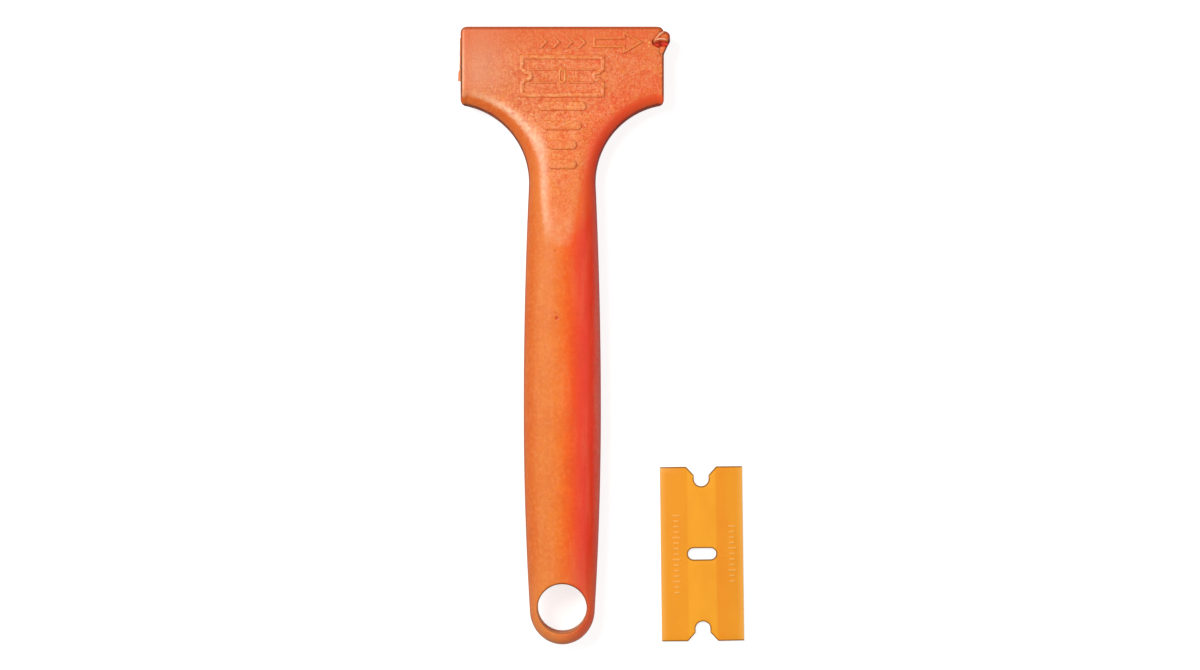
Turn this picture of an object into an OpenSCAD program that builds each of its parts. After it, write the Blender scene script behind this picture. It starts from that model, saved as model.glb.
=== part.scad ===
// Razor blade scraper: a moulded handle whose flat head opens at the back to take a
// double-edged plastic blade. The blade lies loose beside the handle.
// Right is +X, the head points along +Y and the head's front face looks up, along +Z.
// The origin is the middle of the hang hole, half way through the handle's thickness.

/* [Blade] */
// Length of the blade, end to end
blade_length = 38.1; // [34:0.1:42]
// Width of the blade, from one scraping edge to the other
blade_width = 18; // [16:0.1:20]
// Thickness of the flat band along the middle
blade_thickness = 1.2; // [0.9:0.05:1.4]
// Width of the flat band along the middle
band_width = 6.1; // [5:0.1:8]
// Thickness left at the two scraping edges
edge_thickness = 0.16; // [0.1:0.02:0.4]
// Length of the slot through the middle, across the blade
slot_length = 6.2; // [5:0.1:7.5]
// Width of the slot through the middle
slot_width = 2.5; // [2:0.1:3]
// Depth of the notch in each end
notch_depth = 4.3; // [3.6:0.1:5.2]
// Width of each notch's round inner part
notch_width = 3.25; // [2.6:0.05:4]
// Width of each notch at its mouth
notch_mouth = 6.6; // [5:0.1:8]
// Depth over which each notch's mouth narrows
notch_chamfer = 1.85; // [1.2:0.05:2.4]

/* [Head] */
// Distance from the hang hole to the head's front edge
front_reach = 126.1; // [118:0.1:135]
// Thickness of the head at its front edge
nose_thickness = 5.4; // [4.8:0.1:6.4]
// Wall between the end of the blade and the side of the head
side_wall = 2.9; // [2.4:0.1:3.6]
// Wall behind the blade, up to the middle of the head's rear corners
rear_wall = 1.8; // [1.4:0.1:3]
// How far the blade's edge stands out of the head when it is fitted
blade_reach = 4; // [3:0.1:5]
// Radius of the head's corners, seen from the front
corner_radius = 1.3; // [0.9:0.1:1.8]
// Rounding along the edges of the head's sides
side_round = 0.9; // [0.6:0.05:1.2]
// Rounding along the head's front edge
front_round = 0.5; // [0.3:0.05:0.8]

/* [Neck] */
// Width of the neck at its narrowest
neck_width = 14.5; // [13:0.1:15.5]
// Radius of the hollow flanks between the neck and the head
flank_radius = 17; // [15:0.1:19]
// Length of the flat front face, from the head's front edge back to its tip
flat_length = 45.6; // [41:0.1:51]

/* [Grip] */
// Width of the grip at its widest
grip_width = 16.8; // [15.6:0.1:18]
// Thickness of the grip
grip_thickness = 11; // [9.6:0.1:12.5]
// Distance from the hang hole to the widest place
widest_at = 43; // [32:0.1:50]
// Width of the grip beside the hang hole
tail_width = 14.2; // [13.4:0.1:15.5]
// Diameter of the hang hole
hole_diameter = 10.6; // [9:0.1:11.2]
// Wall between the hang hole and the tail end
tail_wall = 2.7; // [2:0.1:4]
// Squareness of the grip's oval section, where 2 is a true oval
section_power = 2.2; // [2:0.05:2.6]

/* [Thumb bars] */
// Width of each raised bar
bar_width = 2.1; // [1.6:0.1:2.8]
// Height of each bar above the front face
bar_height = 0.35; // [0.2:0.05:0.6]
// Length of the bar nearest to the head
bar_long = 10.4; // [8:0.1:12]
// Length of the two bars nearest to the neck
bar_short = 6.3; // [5:0.1:7]
// Spacing of the bars
bar_pitch = 4.27; // [3.6:0.01:4.8]
// Distance from the head's front edge to the first bar
bar_from_front = 17.2; // [16:0.1:19]
// Radius of the corners of each bar
bar_corner = 0.95; // [0.4:0.05:1]

/* [Blade door] */
// Gap between the closed door and the handle
door_gap = 0.15; // [0.1:0.05:0.3]
// Play of the blade in its seat, to each side and in thickness
blade_play = 0.1; // [0.05:0.05:0.2]
// Length of the hinge film along the head's left side
film_length = 9.4; // [7:0.1:10.5]
// Distance from the head's front edge to the hinge film
film_from_front = 2.3; // [2:0.1:3]
// Thickness of the hinge film
film_thickness = 0.3; // [0.2:0.05:0.35]
// How far the folded film stands out at its front end
fold_front = 0.2; // [0.15:0.05:0.4]
// How far the folded film stands out at its rear end
fold_rear = 0.65; // [0.45:0.05:0.8]

/* [Latch hook] */
// Width of the hook along the head's side
hook_width = 5; // [4:0.1:5.6]
// Distance from the head's front edge to the hook
hook_from_front = 1; // [0.8:0.05:1.6]
// How far the hook's arm stands out past the head's side
hook_out = 1.35; // [1:0.05:1.8]
// How deep the arm lies in the head's side
hook_in = 0.95; // [0.7:0.05:1.2]
// How far the lip reaches over the ledge in the head's front face
lip_bite = 1.4; // [1:0.05:1.8]
// Depth of the ledge below the head's front face
ledge_depth = 0.8; // [0.6:0.05:1]
// Height of the lip's ridge above the head's front face
ridge_height = 0.5; // [0.3:0.05:0.8]

/* [Layout] */
// Distance of the loose blade's middle to the right of the hang hole
loose_x = 30.5; // [24:0.1:60]
// Distance of the loose blade's middle ahead of the hang hole
loose_y = 11.4; // [0:0.1:60]
// Turn of the loose blade, anticlockwise seen from above
loose_turn = 0.7; // [-5:0.1:5]

/* [Hidden] */

handle_orange = [0.93, 0.40, 0.20];
door_orange = [0.88, 0.36, 0.18];
film_orange = [0.96, 0.55, 0.33];
hook_orange = [0.95, 0.47, 0.24];
blade_amber = [0.95, 0.62, 0.18];

$fn = 48;
// Overrun of every cut past the surface that it leaves
cut_over = 1;
// Depth to which a raised form is sunk into the piece that carries it
sink = 0.3;

// Steps of the handle's lofted skin
tail_steps = 8;
grip_steps = 9;
tongue_steps = 8;
flank_steps = 14;
corner_steps = 3;
front_steps = 4;
profile_steps = 9;
film_steps = 8;
fold_steps = 12;
// Smallest half-width of the crown's flat, as a share of the grip's half-width
crown_share = 0.05;
// Angle at which the round tail closes on its small end face
tail_close = 6;
// Squareness of the tail's side view
tail_power = 3.5;
// Squareness of the tail's outline seen from the front, where 2 is a true oval
end_power = 2.1;

// Sizes of the seat that follow from the blade
seat_length = blade_length + 2 * blade_play;
seat_depth = blade_thickness + blade_play;
seat_rear = front_reach - blade_width + blade_reach - blade_play;
seat_floor = seat_depth / 2;
parting_z = -seat_depth / 2;
fitted_y = seat_rear + blade_play + blade_width / 2;

// Sizes of the head and grip
flat_start = front_reach - flat_length;
head_half = seat_length / 2 + side_wall;
nose_half = nose_thickness / 2;
thick_half = grip_thickness / 2;
grip_half = grip_width / 2;
tail_half = tail_width / 2;
hole_radius = hole_diameter / 2;
tail_y = tail_half - hole_radius - tail_wall;

// Centre of a rear corner of the head, then of the flank's hollow below it
corner_at = [head_half - corner_radius, seat_rear - rear_wall];
flank_x = neck_width / 2 + flank_radius;
corner_offset = flank_x - corner_at.x;
corner_span = flank_radius + corner_radius;
flank_y = corner_at.y - sqrt(pow(corner_span, 2) - pow(corner_offset, 2));
flank_end = acos(corner_offset / corner_span);

// The flank starts where its slope is that of the grip's side
neck_slope = 2 * (grip_half - neck_width / 2) / (flank_y - widest_at);
flank_begin = -atan(neck_slope);
neck_y = flank_y + flank_radius * sin(flank_begin);
neck_half = flank_x - flank_radius * cos(flank_begin);

// The soft shoulder beside the flat face keeps its width along the flank
shoulder = neck_half - flat_half(neck_y);
shoulder_angle = section_angle(flat_half(neck_y) / neck_half);
side_dx = flank_x - head_half + side_round;
side_y = flank_y + sqrt(pow(flank_radius + shoulder, 2) - pow(side_dx, 2));
straight_end = front_reach - corner_radius;

// Height of the flat front face above the middle plane
function face_z(y) = thick_half - (thick_half - nose_half) * (y - flat_start) / flat_length;

// Half-width of the grip, a parabola on each side of its widest place
function side_x(y) = y < widest_at
    ? grip_half - (grip_half - tail_half) * pow((y - widest_at) / widest_at, 2)
    : grip_half - (grip_half - neck_half) * pow((y - widest_at) / (neck_y - widest_at), 2);

// Share of the full height or width that a squared oval leaves at a share of the other
function oval_share(share) = pow(1 - pow(share, section_power), 1 / section_power);

// Angle on the squared oval at which its width has fallen to a share
function section_angle(share) = acos(pow(share, section_power / 2));

// Half-width of the flat face where its plane cuts the oval grip
function flat_half(y) = side_x(y) * max(crown_share, oval_share(min(1, face_z(y) / thick_half)));

// A ring holds its outline point, its shoulder point, the shoulder's height,
// the oval's end angle, and how far its side is a straight wall with a rounded edge.
function oval_ring(y, half, height, flat) =
    [[half, y], [flat, y], height * oval_share(flat / half), section_angle(flat / half), 0];

function tail_ring(angle) =
    let (y = tail_y - tail_half * cos(angle))
    let (half = side_x(y) * pow(1 - pow(cos(angle), end_power), 1 / end_power))
    let (height = thick_half * pow(1 - pow(cos(angle), tail_power), 1 / tail_power))
    oval_ring(y, half, height, half * crown_share);

function grip_ring(y) = oval_ring(y, side_x(y), thick_half, flat_half(y));

// Point beside the flank's hollow, at an angle round it and a distance from its centre
function flank_point(angle, radius) = [flank_x - radius * cos(angle), flank_y + radius * sin(angle)];

function flank_ring(angle) =
    let (top = flank_point(angle, flank_radius + shoulder))
    [flank_point(angle, flank_radius), top, face_z(top.y), shoulder_angle, 0];

function corner_ring(step) =
    let (turn = flank_end * (step / corner_steps - 1))
    let (part = step / (corner_steps + 1))
    let (from = flank_point(flank_end, flank_radius + shoulder))
    let (top = from + ([head_half - side_round, side_y] - from) * part)
    [corner_at + corner_radius * [cos(turn), sin(turn)], top, face_z(top.y), shoulder_angle, part];

// Drop of the face beside the front edge, along the edge's rounding
function front_drop(y) =
    let (inset = max(0, y - front_reach + front_round))
    front_round - sqrt(pow(front_round, 2) - pow(inset, 2));

function side_ring(y, half) = [[half, y], [half - side_round, y], face_z(y) - front_drop(y), 90, 1];

function front_ring(angle) =
    side_ring(straight_end + corner_radius * sin(angle), corner_at.x + corner_radius * cos(angle));

tail_rings = [for (i = [0:tail_steps - 1]) tail_ring(tail_close + (90 - tail_close) * i / tail_steps)];
grip_rings = [for (i = [0:grip_steps - 1]) grip_ring(tail_y + (flat_start - tail_y) * i / grip_steps)];
tongue_rings = [for (i = [0:tongue_steps - 1])
    grip_ring(flat_start + (neck_y - flat_start) * pow(i / tongue_steps, 2))];
flank_turn = flank_end - flank_begin;
flank_rings = [for (i = [0:flank_steps]) flank_ring(flank_begin + flank_turn * i / flank_steps)];
corner_rings = [for (i = [1:corner_steps]) corner_ring(i)];
side_rings = [side_ring(side_y, head_half)];
front_rings = [for (i = [0:front_steps]) front_ring(90 * i / front_steps)];
head_rings = concat(corner_rings, side_rings, front_rings);
neck_rings = concat([tongue_rings[tongue_steps - 1]], flank_rings, head_rings);
handle_rings = concat(tail_rings, grip_rings, tongue_rings, flank_rings, head_rings);

// One point of a ring's side, as [share of the way in, share of the height]
function side_share(ring, step) =
    let (angle = ring[3] * step / profile_steps)
    let (power = 2 / section_power)
    let (oval_in = (1 - pow(cos(angle), power)) / (1 - pow(cos(ring[3]), power)))
    let (oval_up = pow(sin(angle), power) / pow(sin(ring[3]), power))
    let (bend = 90 * max(0, step - 1) / (profile_steps - 1))
    let (wall_in = 1 - cos(bend))
    let (wall_up = step == 0 ? 0 : 1 - side_round / ring[2] * (1 - sin(bend)))
    [oval_in + (wall_in - oval_in) * ring[4], oval_up + (wall_up - oval_up) * ring[4]];

function ring_point(ring, hand, step) =
    let (share = side_share(ring, abs(step)))
    let (plan = ring[0] + (ring[1] - ring[0]) * share.x)
    [hand * plan.x, plan.y, sign(step) * ring[2] * share.y];

function ring_points(ring) = concat(
    [for (i = [-profile_steps:profile_steps]) ring_point(ring, 1, i)],
    [for (i = [profile_steps:-1:-profile_steps]) ring_point(ring, -1, i)]
);

// Two triangles for each cell of the skin over rings of a given number of points
function skin_faces(rings, count) =
    [for (r = [0:rings - 2]) for (i = [0:count - 1])
        let (a = r * count + i, b = r * count + (i + 1) % count)
        each [[a, b + count, a + count], [a, b, b + count]]];

// End face made of the cells between the two halves of a ring, first or last in the skin
function end_faces(count, from, first) =
    [for (i = [0:count / 2 - 2])
        let (cell = [from + i, from + i + 1, from + count - 2 - i, from + count - 1 - i])
        each first
            ? [[cell[2], cell[1], cell[0]], [cell[3], cell[2], cell[0]]]
            : [[cell[0], cell[1], cell[2]], [cell[0], cell[2], cell[3]]]];

// Closed solid over a run of rings that all have the same even number of points
module skin(rings) {
    count = len(rings[0]);
    points = [for (ring = rings) each ring];
    last = len(points) - count;
    faces = concat(skin_faces(len(rings), count), end_faces(count, 0, true), end_faces(count, last, false));
    polyhedron(points = points, faces = faces);
}

// Box between two corners
module box(low, high) {
    translate(low) cube(high - low);
}

// Outline of a slot with round ends, longest along Y
module slot_outline(length, width) {
    square([width, length - width], center = true);
    for (end = [-1, 1]) {
        translate([0, end * (length - width) / 2]) circle(d = width);
    }
}

// Half-thickness of the folded film, as a share of the film's own thickness
fold_share = 1.5;
// Gap between the film and the walls of its hollow
film_gap = 0.05;
// How deep the folded film lies in the head's side
film_in = 0.6;
fold_half = film_thickness * fold_share;
fold_z = parting_z - door_gap / 2;
film_front = front_reach - film_from_front;
film_rear = film_front - film_length;

// Places on the latch hook
hook_front = front_reach - hook_from_front;
hook_rear = hook_front - hook_width;
arm_in = head_half - hook_in;
arm_out = head_half + hook_out;
lip_tip = arm_in - lip_bite;
// Gap between the hook and the walls of its channel
hook_gap = 0.1;
// Width of the open groove behind the lip
pocket_margin = 0.95;
// Thickness of the lip at its tip, above the ledge
tip_thickness = 0.7;
// Place of the lip's ridge, as a share of the hook's width behind its front side
ridge_share = 0.43;
ridge_y = hook_front - hook_width * ridge_share;
// Distance of the lip's steep rear side behind its ridge
lip_back = 0.45;
lip_rear = ridge_y - lip_back;
ledge_z = face_z(ridge_y) - ledge_depth;
ridge_z = face_z(ridge_y) + ridge_height;

// Space for the closed door, grown towards the handle by a gap
module door_space(gap) {
    box(
        [-head_half - cut_over, seat_rear + door_gap - gap, -thick_half - cut_over],
        [head_half + cut_over, front_reach + cut_over, parting_z - door_gap + gap]
    );
}

module blade_seat() {
    box(
        [-seat_length / 2, seat_rear, parting_z - cut_over],
        [seat_length / 2, front_reach + cut_over, seat_floor]
    );
}

// Stud through the blade's slot and half-round ribs in its end notches
module seat_studs() {
    height = seat_depth - blade_play;
    translate([0, fitted_y, seat_floor - height]) linear_extrude(height + sink)
        slot_outline(slot_length - 2 * blade_play, slot_width - 2 * blade_play);
    for (end = [-1, 1]) {
        rib_width = notch_width - 2 * blade_play;
        rib_x = end * (blade_length / 2 - notch_depth + notch_width / 2);
        wall_x = end * (seat_length / 2 + sink);
        translate([rib_x, fitted_y, seat_floor - height]) cylinder(d = rib_width, h = height + sink);
        box(
            [min(rib_x, wall_x), fitted_y - rib_width / 2, seat_floor - height],
            [max(rib_x, wall_x), fitted_y + rib_width / 2, seat_floor + sink]
        );
    }
}

// Raised bars on the front face, shorter towards the neck
module thumb_bars() {
    lengths = [bar_long, (bar_long + bar_short) / 2, bar_short, bar_short];
    tilt = atan((thick_half - nose_half) / flat_length);
    for (i = [0:len(lengths) - 1]) {
        y = front_reach - bar_from_front - i * bar_pitch;
        translate([0, y, face_z(y)]) rotate([-tilt, 0, 0]) translate([0, 0, -sink])
            linear_extrude(sink + bar_height) rounded_outline(lengths[i], bar_width, bar_corner);
    }
}

// Rectangle with rounded corners, about its middle
module rounded_outline(length, width, corner) {
    square([length, width - 2 * corner], center = true);
    square([length - 2 * corner, width], center = true);
    for (x = [-1, 1]) {
        for (y = [-1, 1]) {
            translate([x * (length / 2 - corner), y * (width / 2 - corner)]) circle(r = corner);
        }
    }
}

// Hollow along the left side for the folded film, through the parting plane
module film_hollow() {
    box(
        [-head_half - cut_over, film_rear - film_gap, fold_z - fold_half - film_gap],
        [-head_half + film_in, film_front + film_gap, fold_z + fold_half + film_gap]
    );
}

// Channel down the right side for the hook's arm
module arm_channel() {
    box(
        [arm_in - hook_gap, hook_rear - hook_gap, -thick_half - cut_over],
        [arm_out + cut_over, hook_front + hook_gap, thick_half + cut_over]
    );
}

// Pocket in the front face, with the ledge under the hook's lip as its floor
module lip_pocket() {
    translate([0, 0, ledge_z - hook_gap]) linear_extrude(thick_half) polygon([
        [lip_tip - hook_gap * 2, ridge_y],
        [lip_tip - hook_gap * 2, lip_rear - hook_gap],
        [arm_in, lip_rear - pocket_margin],
        [arm_in, hook_front + hook_gap]
    ]);
}

module hang_hole() {
    translate([0, 0, -thick_half - cut_over])
        cylinder(r = hole_radius, h = grip_thickness + 2 * cut_over);
}

module handle() {
    color(handle_orange) union() {
        difference() {
            union() {
                skin([for (ring = handle_rings) ring_points(ring)]);
                thumb_bars();
            }
            hang_hole();
            door_space(door_gap);
            blade_seat();
            film_hollow();
            arm_channel();
            lip_pocket();
        }
        seat_studs();
    }
}

module blade_door() {
    color(door_orange) difference() {
        intersection() {
            skin([for (ring = neck_rings) ring_points(ring)]);
            door_space(0);
        }
        film_hollow();
        arm_channel();
    }
}

// How much of the fold's widening lies at its rear end
fold_power = 5;

// Outline of the folded film at a share of its length, from the front end to the rear
function fold_points(share) =
    let (out = fold_front + (fold_rear - fold_front) * pow(share, fold_power))
    let (y = film_front - film_length * share)
    let (long = film_in - film_gap + out)
    concat(
        [for (i = [0:fold_steps]) fold_point(y, long, fold_half, 180 * i / fold_steps)],
        [for (i = [fold_steps:-1:0])
            fold_point(y, long - film_thickness, fold_half - film_thickness, 180 * i / fold_steps)]
    );

function fold_point(y, long, half, angle) =
    [-head_half + film_in - film_gap - long * sin(angle), y, fold_z + half * cos(angle)];

module hinge_film() {
    color(film_orange) skin([for (i = [film_steps:-1:0]) fold_points(i / film_steps)]);
}

// Side view of the hook, across the head: arm up the side and lip over the ledge
module hook_side_view() {
    root_z = -face_z(hook_front) + front_round;
    polygon([
        [arm_in, root_z],
        [head_half, root_z],
        [arm_out, root_z + hook_out],
        [arm_out, ridge_z - hook_out],
        [head_half, ridge_z],
        [lip_tip, ledge_z + tip_thickness],
        [lip_tip, ledge_z],
        [arm_in, ledge_z]
    ]);
}

// Front view of the hook: a beak over the face and a rounded knuckle outside the head
module hook_front_view() {
    polygon([
        [lip_tip, ridge_y],
        [lip_tip, lip_rear],
        [arm_in, lip_rear],
        [arm_in, hook_rear],
        [head_half, hook_rear],
        [arm_out, ridge_y],
        [arm_out, hook_front - hook_out / 2],
        [head_half, hook_front],
        [arm_in, hook_front]
    ]);
}

// End view of the hook along the head's side: a ridge with a steep groove behind it
module hook_end_view() {
    polygon([
        [hook_rear, -thick_half],
        [hook_front, -thick_half],
        [hook_front, ledge_z + tip_thickness],
        [ridge_y, ridge_z],
        [lip_rear, ledge_z + tip_thickness / 2],
        [lip_rear, ledge_z],
        [lip_rear - pocket_margin, ledge_z + tip_thickness],
        [hook_rear, ledge_z + tip_thickness]
    ]);
}

module latch_hook() {
    color(hook_orange) intersection() {
        translate([0, hook_front, 0]) rotate([90, 0, 0]) linear_extrude(hook_width) hook_side_view();
        translate([0, 0, -thick_half]) linear_extrude(grip_thickness) hook_front_view();
        translate([lip_tip, 0, 0]) rotate([90, 0, 90]) linear_extrude(arm_out - lip_tip) hook_end_view();
    }
}

// Section across the blade: a flat band with a long bevel down to each edge
module blade_section() {
    half = blade_width / 2;
    polygon([
        [-half, -edge_thickness / 2],
        [-band_width / 2, -blade_thickness / 2],
        [band_width / 2, -blade_thickness / 2],
        [half, -edge_thickness / 2],
        [half, edge_thickness / 2],
        [band_width / 2, blade_thickness / 2],
        [-band_width / 2, blade_thickness / 2],
        [-half, edge_thickness / 2]
    ]);
}

// Outline of the notch in the blade's end: a tapered mouth and a round inner part
module notch_outline() {
    end = blade_length / 2;
    inner = end - notch_depth + notch_width / 2;
    polygon([
        [-notch_width / 2, inner],
        [-notch_width / 2, end - notch_chamfer],
        [-notch_mouth / 2, end],
        [-notch_mouth / 2, end + cut_over],
        [notch_mouth / 2, end + cut_over],
        [notch_mouth / 2, end],
        [notch_width / 2, end - notch_chamfer],
        [notch_width / 2, inner]
    ]);
    translate([0, inner]) circle(d = notch_width);
}

module blade() {
    color(blade_amber)
        translate([loose_x, loose_y, -thick_half + blade_thickness / 2]) rotate([0, 0, loose_turn])
        difference() {
            rotate([90, 0, 0]) linear_extrude(blade_length, center = true) blade_section();
            translate([0, 0, -blade_thickness]) linear_extrude(2 * blade_thickness) {
                rotate(90) slot_outline(slot_length, slot_width);
                notch_outline();
                rotate(180) notch_outline();
            }
        }
}

handle();
blade_door();
hinge_film();
latch_hook();
blade();
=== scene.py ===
"""Razor blade scraper: an orange moulded handle with a film-hinged back door, and a loose amber blade.

Lengths are in millimetres, except on the stage, and mesh_piece() writes them in metres. The head
points along +Y and its front face looks up, along +Z. The hang hole's middle is the origin.
"""

import math

import bpy
import numpy as np
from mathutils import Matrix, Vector


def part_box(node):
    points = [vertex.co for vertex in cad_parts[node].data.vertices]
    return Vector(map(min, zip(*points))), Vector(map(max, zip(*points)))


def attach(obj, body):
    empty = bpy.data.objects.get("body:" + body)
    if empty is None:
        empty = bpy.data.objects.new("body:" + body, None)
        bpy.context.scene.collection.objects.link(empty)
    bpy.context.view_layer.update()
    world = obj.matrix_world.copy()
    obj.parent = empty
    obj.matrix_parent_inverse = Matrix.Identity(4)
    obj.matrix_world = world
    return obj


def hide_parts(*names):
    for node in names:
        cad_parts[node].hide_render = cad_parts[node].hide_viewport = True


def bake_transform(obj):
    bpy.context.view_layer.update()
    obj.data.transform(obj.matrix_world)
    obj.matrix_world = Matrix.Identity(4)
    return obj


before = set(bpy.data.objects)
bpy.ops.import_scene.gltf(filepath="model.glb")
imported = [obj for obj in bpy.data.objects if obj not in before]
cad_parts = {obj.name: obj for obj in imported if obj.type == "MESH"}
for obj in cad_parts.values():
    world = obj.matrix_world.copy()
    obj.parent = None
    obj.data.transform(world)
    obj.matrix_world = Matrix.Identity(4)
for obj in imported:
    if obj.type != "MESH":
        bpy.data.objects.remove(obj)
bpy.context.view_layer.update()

MM = 0.001


def node_box(node):
    """Lowest and highest corner of a CAD node, in millimetres."""
    low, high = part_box(node)
    return np.array(low) / MM, np.array(high) / MM


# Sizes of the head and the flat front face
HANDLE_LOW, HANDLE_HIGH = node_box("handle")
FRONT = HANDLE_HIGH[1]
HEAD_HALF = HANDLE_HIGH[0]
NOSE_HALF = 2.7
THICK_HALF = 5.5
FLAT_LENGTH = 45.6
FLAT_START = FRONT - FLAT_LENGTH
TONGUE_START = FLAT_START - 4
CORNER_RADIUS = 1.3
SIDE_ROUND = 0.9
FRONT_ROUND = 0.5
SHOULDER_SOFTNESS = 1.3
END_SOFTNESS = 0.45
# Where along the handle the shoulder turns soft, and where it turns firm again
SOFT_FROM, SOFT_FULL = 84, 96
FIRM_FROM, FIRM_FULL = 97, 111

# Sizes of the grip and the hang hole
NECK_HALF_WIDTH = 7.25
FLANK_RADIUS = 17.0
GRIP_HALF = 8.4
WIDEST_AT = 43.0
TAIL_HALF = 7.1
TAIL_WALL = 2.7
HOLE_RADIUS = 5.3
HOLE_ROUND = 0.5
TAIL_Y = TAIL_HALF - HOLE_RADIUS - TAIL_WALL
TAIL_REACH = TAIL_Y - HANDLE_LOW[1]
SECTION_POWER = 2.2
TAIL_POWER = 3.5
END_POWER = 2.1
INNER_SHARE = 0.3

# The blade, its seat inside the head and the door behind it
BLADE_LENGTH = 38.1
BLADE_WIDTH = 18.0
BLADE_THICKNESS = 1.2
BLADE_PLAY = 0.1
BLADE_TIP = BLADE_LENGTH / 2
BAND_HALF = 3.05
BEVEL_LOW = 0.15
EDGE_HALF = 0.08
SLOT = (6.2, 2.5)
NOTCH_DEPTH = 4.3
NOTCH_WIDTH = 3.25
NOTCH_MOUTH = 6.6
NOTCH_CHAMFER = 1.85
NOTCH_MIDDLE = BLADE_TIP - NOTCH_DEPTH + NOTCH_WIDTH / 2
BLADE_TURN = math.radians(0.7)
BEVEL_END = BLADE_WIDTH / 2 - 0.5
BEVEL_SLOPE = (BLADE_THICKNESS / 2 - BEVEL_LOW) / (BEVEL_END - BAND_HALF)
WORN_EDGE = 0.07
# Each row of ticks: its x, the first tick's y, how many; then half a long and half a short tick
TICK_ROWS = ((-5.65, 8.4, 15), (6.5, 6.0, 11))
TICK_HALVES = (0.95, 0.7)
TICK_HALF_WIDTH = 0.27
TICK_SLOPE = 0.09
TICK_PITCH = 1.2
TICK_HEIGHT = 0.13
DOOR_GAP = 0.15
DOOR_LOW, DOOR_HIGH = node_box("blade_door")
PARTING_Z = DOOR_HIGH[2] + DOOR_GAP
SEAT_REAR = DOOR_LOW[1] - DOOR_GAP
SEAT_HALF = BLADE_TIP + BLADE_PLAY
SEAT_CEILING = -PARTING_Z
FITTED_Y = SEAT_REAR + BLADE_PLAY + BLADE_WIDTH / 2

# The film hinge on the left and the snap hook on the right
FILM_LOW, FILM_HIGH = node_box("hinge_film")
FILM_GAP = 0.05
FILM_THICKNESS = 0.3
HOOK_LOW, HOOK_HIGH = node_box("latch_hook")
HOOK_GAP = 0.05
ARM_IN = HEAD_HALF - 0.95
LEDGE_DEPTH = 0.8
RIDGE_Y = HOOK_HIGH[1] - 0.43 * (HOOK_HIGH[1] - HOOK_LOW[1])
LIP_REAR = RIDGE_Y - 0.45
GROOVE_REAR = LIP_REAR - 0.95

# The raised bars, and the raised signs made of thin lines
BAR_LENGTHS = (10.5, 8.4, 6.2, 6.2)
BAR_WIDTH = 2.05
BAR_CORNER = 0.95
BAR_HEIGHT = 0.42
BAR_ROUND = 0.36
BAR_PITCH = 4.22
BAR_FROM_FRONT = 17.3
ARROW_TAIL = (6.9, 122.65)
ARROW_LENGTH = 10.15
ARROW_SHAFT = 1.85
ARROW_HEAD = (3.65, 4.3)
CHEVRONS = (-5.2, -2.4, 0.4, 3.2)
CHEVRON_HEIGHT = 0.36
CHEVRON_ROUND = 0.22
SIGN_MIDDLE = (0.0, 115.3)
SIGN_SCALE = 0.46
STRIP_HALF = (2.95, 0.2)
STRIP_X = 4.2
STRIP_HEIGHT = 0.2
# Width and height of raised lines
ARROW_LINE = (0.6, 0.32)
SLOT_LINE = (0.5, 0.3)
BLADE_LINE = (1.0, 0.46)

# Rings along the handle, steps in each ring's quarter and the share of steps up a straight wall
TAIL_RINGS = 44
GRIP_RINGS = 46
TONGUE_RINGS = 60
FLANK_RINGS = 84
CORNER_RINGS = 12
SIDE_RINGS = 12
END_RINGS = 18
SIDE_STEPS = 22
FLAT_STEPS = 20
WALL_SHARE = 0.12
# How far a cutter reaches past a face or the blade's end, and a raised form into what it stands on
CUT_OVER = 3.0
PAST_END = 1
SUNK = 0.3

floor_z = min(HANDLE_LOW[2], node_box("blade")[0][2])


# Meshes
def mesh_piece(name, points, faces, smooth_angle=32):
    """Piece from points in millimetres and faces of any number of corners, smooth below an angle."""
    mesh = bpy.data.meshes.new(name)
    mesh.from_pydata((np.asarray(points).reshape(-1, 3) * MM).tolist(), [], faces)
    mesh.update()
    piece = bpy.data.objects.new(name, mesh)
    bpy.context.scene.collection.objects.link(piece)
    soften(piece, smooth_angle)
    return piece


def soften(piece, smooth_angle=32):
    """Shade smooth and keep edges sharper than the angle."""
    piece.data.shade_smooth()
    piece.data.set_sharp_from_angle(angle=math.radians(smooth_angle))


def grid_faces(rows, columns, loop=False):
    """Quads between neighbouring rows of points that each run round a closed outline.

    Row r and column c meet at point r * columns + c. With loop, the last row joins the first.
    """
    row = np.arange(rows if loop else rows - 1)[:, None]
    column = np.arange(columns)[None, :]
    here = row * columns + column
    beside = row * columns + (column + 1) % columns
    ahead = (row + 1) % rows * columns
    quads = np.stack([here, beside, ahead + (column + 1) % columns, ahead + column], axis=-1)
    return quads.reshape(-1, 4).tolist()


def loft(name, rings, loop=False, smooth_angle=32):
    """Solid through a run of closed rings, shape (rings, points, 3), with a flat face on each end."""
    rows, columns = rings.shape[:2]
    faces = grid_faces(rows, columns, loop)
    if not loop:
        faces.append(list(range(columns))[::-1])
        faces.append(list(range((rows - 1) * columns, rows * columns)))
    return mesh_piece(name, rings, faces, smooth_angle)


def block(name, low, high):
    """Box between two corners, as a loft of two rectangles."""
    (x0, y0, z0), (x1, y1, z1) = low, high
    outline = [(x0, y0), (x1, y0), (x1, y1), (x0, y1)]
    return prism(name, np.array(outline), z0, z1)


def prism(name, outline, low_z, high_z, top_outline=None):
    """Solid between a plan outline at one height and the same or another outline at another."""
    upper = outline if top_outline is None else top_outline
    return loft(name, np.stack([at_height(outline, low_z), at_height(upper, high_z)]))


def at_height(outline, height):
    """Plan outline lifted to a height, one number or one per point."""
    return np.column_stack([outline, np.broadcast_to(height, len(outline))])


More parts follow.
